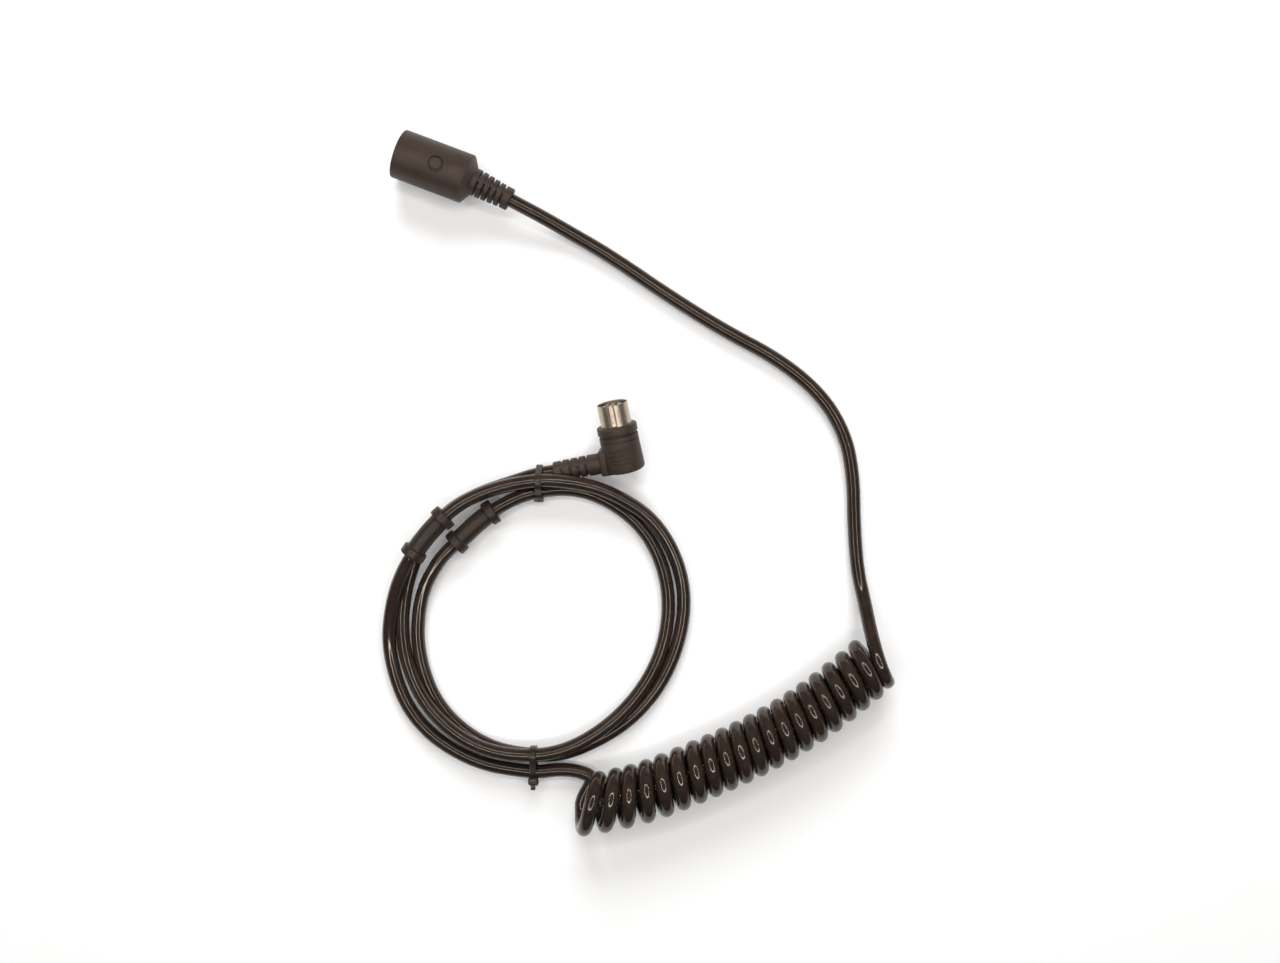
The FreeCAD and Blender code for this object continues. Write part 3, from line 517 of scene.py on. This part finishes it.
# ================================================================ strain reliefs
def relief(bm, spec, place):
    """Segmented strain relief along X: core, plain root, ribs between webs above and below, collar."""
    root, tip, plain, slot_w = spec["root"], spec["tip"], spec["plain"], spec["slot_w"]
    collar_at = spec["end"] - spec["collar"]
    lathe(bm, [(spec["start"], 0, 0), (spec["start"], root, 0.3), (plain, root, 0.3),
               (plain, RELIEF_CORE_R, 0.1), (collar_at, RELIEF_CORE_R, 0.1),
               (collar_at, spec["collar_r"], 0.45),
               (spec["end"], spec["collar_r"], 0.65), (spec["end"], CABLE_BORE_R, 0.15),
               (spec["end"] - RELIEF_MOUTH, CABLE_BORE_R, 0), (spec["end"] - RELIEF_MOUTH, 0, 0)], place)
    pitch = (collar_at - plain - slot_w) / (spec["slots"] - 1)
    rib_w = pitch - slot_w
    rib = bmesh.new()
    inside = RELIEF_CORE_R * 0.9
    lathe(rib, [(0, inside, 0), (0, root, 0.28), (rib_w, root, 0.28), (rib_w, inside, 0)],
          Matrix.Identity(4), 80, 3)
    first = plain + slot_w
    last = first + pitch * (spec["slots"] - 2)
    sizes = [1 + (tip / root - 1) * (x + rib_w / 2 - plain) / (collar_at - plain) for x in (first, last)]
    row_of(bm, pattern_object(rib, MOULDING), place, MOULDING, Count=spec["slots"] - 1, Start=first,
           Pitch=pitch, **{"First Size": sizes[0], "Last Size": sizes[1]})
    for top in (1, -1):
        web = [(plain - 0.4, top * (RELIEF_CORE_R - 0.4)), (plain - 0.4, top * (root - 0.15)),
               (collar_at + 0.6, top * (tip - 0.15)), (collar_at + 0.6, top * (RELIEF_CORE_R - 0.4))]
        sides = (-WEB_W / 2, WEB_W / 2)
        skin(bm, [[bm.verts.new(place @ Vector((x, y, z))) for x, z in web] for y in sides], closed=False)


# ================================================================ in-line socket
def socket_moulding():
    bm = bmesh.new()
    lathe(bm, [(RECESS_DEPTH, SHIELD_R, 0), (RECESS_DEPTH, RECESS_R, 0.25), (0, RECESS_R, 0.3),
               (0, SOCKET_R, 0.65), (SOCKET_BODY - SHOULDER_LEN, SOCKET_R, 0.9),
               (SOCKET_BODY, S_RELIEF["root"], 0.5), (SOCKET_BODY, CORE_WAY_R, 0),
               (SOCKET_HOLLOW_END, CORE_WAY_R, 0), (SOCKET_HOLLOW_END, SHIELD_R, 0)],
          SOCKET_PLACE, 128, 6)
    mark_pad(bm)
    relief(bm, S_RELIEF, S_RELIEF_PLACE)
    return piece("socket_body_moulding", bm, MOULDING)


def mark_pad(bm, sides=64):
    """Adds the plain round pad on top of the socket, following its curve."""
    rings = []
    for share, lift in MARK_STEPS:
        ring = []
        for side in range(sides):
            angle = 2 * math.pi * side / sides
            x, y = MARK_R * share * math.cos(angle), MARK_R * share * math.sin(angle)
            z = math.sqrt((SOCKET_R + lift) ** 2 - y * y)
            ring.append(bm.verts.new(SOCKET_PLACE @ Vector((MARK_X + x, y, z))))
        rings.append(ring)
    skin(bm, rings, closed=False)


# ================================================================ right-angled plug
def plug_moulding():
    bm = bmesh.new()
    groove_x = SHELL_FREE + FLANGE_LEN
    lip_x = groove_x + GROOVE_LEN
    line_x = lip_x + LIP_LEN
    body_x = line_x + LINE_LEN
    seat = SHELL_SEAT_R - 0.02
    lathe(bm, [(SHELL_FREE, seat, 0), (SHELL_FREE, 7.4, 0.2), (SHELL_FREE + 0.2, FLANGE_R, 1.0),
               (groove_x, FLANGE_R, 0.9), (groove_x, GROOVE_R, 0.12), (lip_x, GROOVE_R, 0.12),
               (lip_x, LIP_R, 0.4), (line_x, LIP_R, 0.2), (line_x, LINE_R, 0), (body_x, LINE_R, 0),
               (body_x, BODY_TOP_R, 0.15), (PLUG_LEN, BODY_END_R, BLIND_ROUND), (PLUG_LEN, 0, 0),
               (SHELL_LEN, 0, 0), (SHELL_LEN, seat, 0)], PLUG_PLACE, 128, 5)
    ridge = bmesh.new()
    grip_ridge(ridge)
    place = PLUG_PLACE @ Matrix.Translation((PLUG_LEN, 0, 0)) @ Matrix.Rotation(math.pi, 4, "Y")
    row_of(bm, pattern_object(ridge, MOULDING), place, MOULDING, Count=RIDGES, Start=RIDGE_FIRST - RIDGE_W,
           Pitch=RIDGE_PITCH, **{"First Size": 1.0, "Last Size": 0.985})
    block_end = PLUG_LEN + BLOCK_PAST
    low = (block_end - BLOCK_LEN, BLOCK_IN, -BLOCK_H / 2)
    rounded_box(bm, low, (block_end, BLOCK_OUT, BLOCK_H / 2), 1.0, PLUG_PLACE)
    relief(bm, P_RELIEF, P_RELIEF_PLACE)
    return piece("plug_body_moulding", bm, MOULDING)


def grip_ridge(bm, segments=24):
    """Adds one low rib that curves round the top of the plug's body."""
    span = math.asin(RIDGE_SPAN / 2 / BODY_END_R)
    foot = BODY_END_R - 0.7
    rings = []
    for k in range(segments + 1):
        share = 2 * k / segments - 1
        crest = BODY_END_R + RIDGE_H * (1 - abs(share) ** 6)
        angle = span * share
        section = softened([(0, foot, 0), (0, crest, 0.22), (RIDGE_W, crest, 0.22), (RIDGE_W, foot, 0)], 3)
        rings.append([bm.verts.new((p.x, p.y * math.sin(angle), p.y * math.cos(angle))) for p in section])
    skin(bm, rings, closed=False)


def plug_shell(sides=144):
    """Thin drawn shell with a rolled rim and the key pressed in along its under side."""
    bm = bmesh.new()
    inside, seat_inside, roll = SHELL_R - SHELL_WALL, SHELL_SEAT_R - SHELL_WALL, SHELL_WALL * 0.45
    outline = softened([(0, inside, roll), (0, SHELL_R, roll), (SHELL_FREE, SHELL_R, 0),
                        (SHELL_FREE, SHELL_SEAT_R, 0), (SHELL_LEN, SHELL_SEAT_R, 0),
                        (SHELL_LEN, seat_inside, 0), (KEY_LEN, seat_inside, 0), (KEY_LEN, inside, 0)], 3)
    outline = with_steps(outline, 0.8)
    rings = []
    for side in range(sides):
        angle = 2 * math.pi * side / sides
        pressed = 0.0
        if math.cos(angle) < 0:
            across = abs(SHELL_R * math.sin(angle))
            pressed = KEY_DEPTH * ramp(across, KEY_W / 2 + 0.35, KEY_W / 2 - 0.1)
        ring = []
        for p in outline:
            r = p.y - pressed * ramp(p.x, KEY_LEN + 0.3, KEY_LEN - 0.4)
            ring.append(bm.verts.new(PLUG_PLACE @ Vector((p.x, r * math.sin(angle), r * math.cos(angle)))))
        rings.append(ring)
    skin(bm, rings)
    return piece("plug_nickel_shell", bm, NICKEL, 50)


def ramp(value, zero_at, one_at):
    """0 at one value, 1 at another, smooth between."""
    t = min(1.0, max(0.0, (value - zero_at) / (one_at - zero_at)))
    return t * t * (3 - 2 * t)


def with_steps(outline, most):
    """The outline with long runs divided."""
    out = []
    for a, b in zip(outline, outline[1:] + outline[:1]):
        count = max(1, math.ceil((b - a).length / most))
        out += [a.lerp(b, k / count) for k in range(count)]
    return out


def plug_pins():
    bm = bmesh.new()
    pin = bmesh.new()
    lathe(pin, [(PIN_TIP, 0, 0), (PIN_TIP, PIN_R, 0.55), (PIN_END, PIN_R, 0), (PIN_END, TAIL_R, 0),
                (PIN_END + PIN_TAIL, TAIL_R, 0.1), (PIN_END + PIN_TAIL, 0, 0)], Matrix.Identity(4), 28, 5)
    on_sites(bm, pattern_object(pin, BRASS), PLUG_PLACE, BRASS, PIN_SITES)
    return piece("plug_pins", bm, BRASS)


def socket_contacts():
    bm = bmesh.new()
    sleeve = bmesh.new()
    start = RECESS_DEPTH + 1.0
    depth, sleeve_end, tail_end = start + 6.5, start + 7.5, start + 10.0
    lathe(sleeve, [(start, CONTACT_BORE_R, 0.1), (start, CONTACT_R, 0.12), (sleeve_end, CONTACT_R, 0.1),
                   (sleeve_end, TAIL_R, 0), (tail_end, TAIL_R, 0.1), (tail_end, 0, 0), (depth, 0, 0),
                   (depth, CONTACT_BORE_R, 0)], Matrix.Identity(4), 28, 3)
    on_sites(bm, pattern_object(sleeve, BRASS), SOCKET_PLACE, BRASS, PIN_SITES)
    return piece("socket_contacts", bm, BRASS)


# ================================================================ cable
def nurbs(name, points, steps, swell=None):
    """Smooth curve controlled by points in millimetres; swell widens the cable at each point."""
    data = bpy.data.curves.new(name, "CURVE")
    data.dimensions = "3D"
    data.twist_mode = "MINIMUM"
    spline = data.splines.new("NURBS")
    spline.points.add(len(points) - 1)
    for point, place in zip(spline.points, points):
        point.co = (place[0] * MM, place[1] * MM, place[2] * MM, 1.0)
    for point, widen in zip(spline.points, swell or []):
        point.radius = widen
    spline.order_u = 3
    spline.use_endpoint_u = True
    data.resolution_u = steps
    obj = bpy.data.objects.new(name, data)
    bpy.context.scene.collection.objects.link(obj)
    return obj


def centreline(obj):
    """Points, in millimetres, along a curve that has no bevel."""
    bpy.context.view_layer.update()
    data = bpy.data.meshes.new_from_object(obj.evaluated_get(bpy.context.evaluated_depsgraph_get()))
    points = [v.co / MM for v in data.vertices]
    bpy.data.meshes.remove(data)
    return points


class Track:
    """A line of points with a place and a direction at each length along it."""

    def __init__(self, points):
        self.points = points
        self.at = [0.0]
        for a, b in zip(points, points[1:]):
            self.at.append(self.at[-1] + (b - a).length)

    def place(self, length):
        k = next((i for i, s in enumerate(self.at) if s > length), len(self.at) - 1)
        k = max(1, k)
        a, b = self.points[k - 1], self.points[k]
        share = (length - self.at[k - 1]) / (self.at[k] - self.at[k - 1])
        return a.lerp(b, share), (b - a).normalized()

    def nearest(self, spot):
        return self.at[min(range(len(self.at)), key=lambda i: (self.points[i] - spot).length)]


def helix_points():
    """The curls: a left-handed helix on the curls' own axis, from the socket's end to the ring's."""
    guide = nurbs("curl_axis", CURL_AXIS, 12)
    track = Track(centreline(guide))
    bpy.data.objects.remove(guide)
    stations = [FIRST_TURN_AT]
    for step in TURN_STEPS:
        stations.append(stations[-1] + step)
    top = len(stations) - 1
    high, wide = TURN_R * TURN_GAIN, TURN_R_WIDE * TURN_GAIN
    points = []
    total = int(round((top + 0.25) * TURN_POINTS))
    for k in range(total + 1):
        turns = 0.25 + k / TURN_POINTS
        phase = 2 * math.pi * (0.25 + turns)
        down = top - turns
        base = max(0, min(top - 1, math.floor(down)))
        along = stations[base] + (stations[base + 1] - stations[base]) * (down - base)
        spot, ahead = track.place(along)
        out = UP.cross(ahead).normalized()
        lean = (LEAN + (LEAN_FIRST - LEAN) * ramp(turns, 3.0, 0.3)
                + (LEAN_LAST - LEAN) * ramp(down, 3.0, 0.0))
        points.append(spot + ahead * (lean * math.cos(phase)) + out * (wide * math.cos(phase))
                      + UP * (high * math.sin(phase)))
    return points


def on_ring(spot):
    """Place of an angle, a distance and a height round the ring's centre."""
    angle, distance, height = spot
    a = math.radians(angle)
    return (RING_CENTRE[0] + distance * math.cos(a), RING_CENTRE[1] + distance * math.sin(a), height)


CURLS = helix_points()
BEFORE = [CABLE_START] + STRAIGHT_LEAD
AFTER = LINK_LEAD + [on_ring(s) for s in OUTER_STRAND + MIDDLE_STRAND + INNER_STRAND] + [CABLE_END]
SWELLS = [SWELL] * len(BEFORE) + [SWELL_CURLS] * len(CURLS) + [SWELL] * len(AFTER)
CABLE_POINTS = [(x, y, max(z, CABLE_R * swell + GROUND_GAP))
                for (x, y, z), swell in zip(BEFORE + CURLS + AFTER, SWELLS)]
cable = nurbs("cable", CABLE_POINTS, 8, SWELLS)
TRACK = Track(centreline(cable))
cable.data.bevel_depth = CABLE_R * MM
cable.data.bevel_resolution = 5
cable.data.use_fill_caps = True
cable.data.materials.append(JACKET)


# ================================================================ pieces on the cable
def grommet(name, before, after, sides=56):
    """Double-flanged sleeve that follows the cable between two points of its way."""
    centre = TRACK.nearest((Vector(on_ring(before)) + Vector(on_ring(after))) / 2)
    half = GROMMET_LEN / 2
    neck = half - GROMMET_FLANGE
    outline = softened([(-half, GROMMET_BORE_R, 0.2), (-half, GROMMET_FLANGE_R, 0.55),
                        (-neck, GROMMET_FLANGE_R, 0.55), (-neck, GROMMET_R, 0.35), (neck, GROMMET_R, 0.35),
                        (neck, GROMMET_FLANGE_R, 0.55), (half, GROMMET_FLANGE_R, 0.55),
                        (half, GROMMET_BORE_R, 0.2)], 4)
    angles = [2 * math.pi * side / sides for side in range(sides)]
    bm = bmesh.new()
    rings = []
    for p in with_steps(outline, 1.2):
        spot, ahead = TRACK.place(centre + p.x)
        place = frame_of(spot, ahead, UP)
        rings.append([bm.verts.new(place @ Vector((0, p.y * math.cos(a), p.y * math.sin(a))))
                      for a in angles])
    skin(bm, rings)
    return piece(name, bm, GROMMET)


def belt(centres, radius, steps=8):
    """Closed outline round circles of one radius."""
    count = len(centres)
    sides = []
    for k in range(count):
        step = (centres[(k + 1) % count] - centres[k]).normalized()
        sides.append(math.atan2(-step.x, step.y))
    outline = []
    for k in range(count):
        a, b = sides[k - 1], sides[k]
        while b < a:
            b += 2 * math.pi
        for s in range(steps + 1):
            angle = a + (b - a) * s / steps
            outline.append(centres[k] + Vector((math.cos(angle), math.sin(angle))) * radius)
    return outline


def cable_tie(name, angle, centres, strand, toward, thick, tail_len):
    """Strap, latch head and tail in an upright plane through the ring's centre.

    centres are the strands it goes round, out from that centre and up; toward is the way its head faces.
    """
    out = heading(angle)
    turn = Matrix((out.cross(UP), out, UP)).transposed().to_4x4()
    place = Matrix.Translation((*RING_CENTRE, 0)) @ turn
    middle = [Vector(c) for c in centres]
    path = belt(middle, CABLE_R + TIE_GAP + TIE_T / 2)
    bm = bmesh.new()
    rings = []
    count = len(path)
    w, t = TIE_W / 2, TIE_T / 2
    section = softened([(-w, -t, 0.25), (w, -t, 0.25), (w, t, 0.35), (-w, t, 0.35)], 2)
    for k in range(count):
        ahead = (path[(k + 1) % count] - path[k - 1]).normalized()
        normal = Vector((ahead.y, -ahead.x))
        rings.append([bm.verts.new(place @ Vector((p.x, *(path[k] + normal * p.y)))) for p in section])
    skin(bm, rings)
    normal = Vector((math.cos(math.radians(toward)), math.sin(math.radians(toward))))
    step = Vector((-normal.y, normal.x))
    seat = middle[strand] + normal * (CABLE_R + TIE_HEAD_OUT)
    local = place @ Matrix(((1, 0, 0, 0), (0, step.x, normal.x, seat.x), (0, step.y, normal.y, seat.y),
                            (0, 0, 0, 1)))
    width, length = TIE_HEAD
    rounded_box(bm, (-width / 2, -length / 2, 0), (width / 2, length / 2, thick),
                min(0.9, 0.4 * thick), local, 4)
    rounded_box(bm, (-TIE_TAIL_W / 2, 0, thick - 1), (TIE_TAIL_W / 2, TIE_T, thick + tail_len), 0.3, local)
    return piece(name, bm, NYLON)


# ================================================================ every piece in its place
socket_body = socket_moulding()
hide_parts("socket_overmould")
contacts = socket_contacts()
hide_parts(*["socket_contact_%d" % n for n in range(1, 9)])

plug_body = plug_moulding()
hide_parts("plug_overmould")
shell = plug_shell()
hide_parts("plug_shell")
pins = plug_pins()
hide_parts(*["plug_pin_%d" % n for n in range(1, 9)])

sleeve_a = grommet("grommet_outer", OUTER_STRAND[5], OUTER_STRAND[6])
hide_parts("grommet_a")
sleeve_b = grommet("grommet_inner", MIDDLE_STRAND[6], MIDDLE_STRAND[7])
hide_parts("grommet_b")
strap_top = cable_tie("strap_top", angle=109.0, centres=[(58.7, 4.1), (65.9, 4.4), (62.3, 9.4)],
                      strand=0, toward=160.0, thick=1.3, tail_len=0.3)
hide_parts("tie_top")
strap_bottom = cable_tie("strap_bottom", angle=290.0, centres=[(56.0, 4.1), (62.6, 4.1), (55.3, 9.9)],
                         strand=1, toward=20.0, thick=3.2, tail_len=2.0)
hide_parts("tie_bottom")

NODE_FINISH = {
    "socket_shield": NICKEL, "socket_insulator": BLOCK, "plug_insulator": BLOCK,
    "socket_cable_clamp": STEEL, "plug_cable_clamp": STEEL,
    "socket_inner_mould": INNER, "plug_inner_mould": INNER,
    "socket_cable_tail": JACKET, "plug_cable_tail": JACKET}
for n in range(1, 9):
    NODE_FINISH["socket_core_%d" % n] = CORE
    NODE_FINISH["plug_core_%d" % n] = CORE
for node, material in NODE_FINISH.items():
    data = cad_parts[node].data
    data.materials.clear()
    data.materials.append(material)

dressed(cable)
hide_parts("straight_lead", "link_lead", "plug_lead", "curl", "ring_coil")


# ================================================================ floor, light, camera
# metres; the view looks straight down on CENTRE and is turned about the upright axis
CENTRE = Vector((0.12024, -0.09534, 0))
VIEW_HEIGHT, VIEW_TURN = 0.6, math.radians(20.6)
RIGHT = Vector((math.cos(VIEW_TURN), math.sin(VIEW_TURN), 0))
FAR = UP.cross(RIGHT)


def floor():
    """White ground; far out, where the lamps don't reach, the camera still sees it white."""
    bm = bmesh.new()
    bmesh.ops.create_grid(bm, x_segments=1, y_segments=1, size=6.0)
    data = bpy.data.meshes.new("floor")
    bm.to_mesh(data)
    bm.free()
    material, graph, shader = finish_node("floor_white", 0.9)
    seen = graph.also(graph.add("ShaderNodeLightPath"), "Is Camera Ray")
    axes = graph.add("ShaderNodeSeparateXYZ", None, {"Vector": graph.add("ShaderNodeTexCoord", out=3)})
    away = ((axes - CENTRE.x) ** 2.0 + (graph.also(axes, "Y") - CENTRE.y) ** 2.0) ** 0.5
    lift = blend(graph, seen * (0.1 + away.band(0.25, 1.4) * 0.9), (0, 0, 0, 1), (1, 1, 1, 1))
    graph.tree.links.new(lift.socket, shader.inputs["Emission Color"])
    shader.inputs["Emission Strength"].default_value = 1.0
    shader.inputs["Base Color"].default_value = (0.88, 0.88, 0.885, 1)
    shader.inputs["Specular IOR Level"].default_value = 0.0
    data.materials.append(material)
    obj = bpy.data.objects.new("floor", data)
    bpy.context.scene.collection.objects.link(obj)


def lamp(name, place, size, watts):
    """Soft area lamp that faces the middle of the lead."""
    data = bpy.data.lights.new(name, "AREA")
    data.shape = "RECTANGLE"
    data.size, data.size_y = size
    data.energy = watts
    obj = bpy.data.objects.new(name, data)
    obj.location = place
    obj.rotation_euler = (CENTRE - place).to_track_quat("-Z", "Y").to_euler()
    obj.visible_camera = False
    obj.visible_glossy = False
    bpy.context.scene.collection.objects.link(obj)


def ring_light(half_long, half_short, width, height, strength, sides=72):
    """A thin oval band of light above the lead, facing down."""
    bm = bmesh.new()
    rows = []
    for k in range(sides):
        angle = 2 * math.pi * k / sides
        rows.append([bm.verts.new(CENTRE + RIGHT * ((half_long + w) * math.cos(angle))
                                  + FAR * ((half_short + w) * math.sin(angle)) + UP * height)
                     for w in (-width / 2, width / 2)])
    for k in range(sides):
        here, after = rows[k], rows[(k + 1) % sides]
        bm.faces.new((here[0], after[0], after[1], here[1]))
    data = bpy.data.meshes.new("ring_light")
    bm.to_mesh(data)
    bm.free()
    material, _, shader = finish_node("ring_light", 1.0)
    shader.inputs["Base Color"].default_value = (0, 0, 0, 1)
    shader.inputs["Emission Color"].default_value = (1, 0.985, 0.965, 1)
    shader.inputs["Emission Strength"].default_value = strength
    data.materials.append(material)
    obj = bpy.data.objects.new("ring_light", data)
    obj.visible_camera = False
    bpy.context.scene.collection.objects.link(obj)


def lights():
    ring_light(half_long=0.44, half_short=0.26, width=0.022, height=0.66, strength=32.0)
    lamp("window", CENTRE + FAR * 1.25 + UP * 0.8, size=(1.1, 0.6), watts=19.5)
    lamp("side", CENTRE - RIGHT * 1.2 + FAR * 0.2 + UP * 0.7, size=(0.8, 0.8), watts=1.0)
    world = bpy.data.worlds.new("room")
    world.use_nodes = True
    tree = world.node_tree
    tree.nodes.clear()
    graph = Graph(tree)
    ray = graph.add("ShaderNodeLightPath")
    seen = graph.also(ray, "Is Camera Ray")
    mirrored = graph.also(ray, "Is Glossy Ray")
    strength = 0.09 + seen * 0.91 - mirrored * 0.03
    back = graph.add("ShaderNodeBackground", None, {"Color": (1, 1, 1, 1), "Strength": strength})
    output = tree.nodes.new("ShaderNodeOutputWorld")
    tree.links.new(back.socket, output.inputs["Surface"])
    bpy.context.scene.world = world


def camera():
    data = bpy.data.cameras.new("camera")
    data.lens = 38.64
    data.sensor_width = 36.0
    data.clip_start = 0.02
    obj = bpy.data.objects.new("camera", data)
    obj.location = CENTRE + UP * VIEW_HEIGHT
    obj.rotation_euler = (0, 0, VIEW_TURN)
    bpy.context.scene.collection.objects.link(obj)
    bpy.context.scene.camera = obj


floor()
lights()
camera()
bpy.context.scene.view_settings.view_transform = "Standard"


def plain(box):
    return [[float(v) for v in corner] for corner in box]
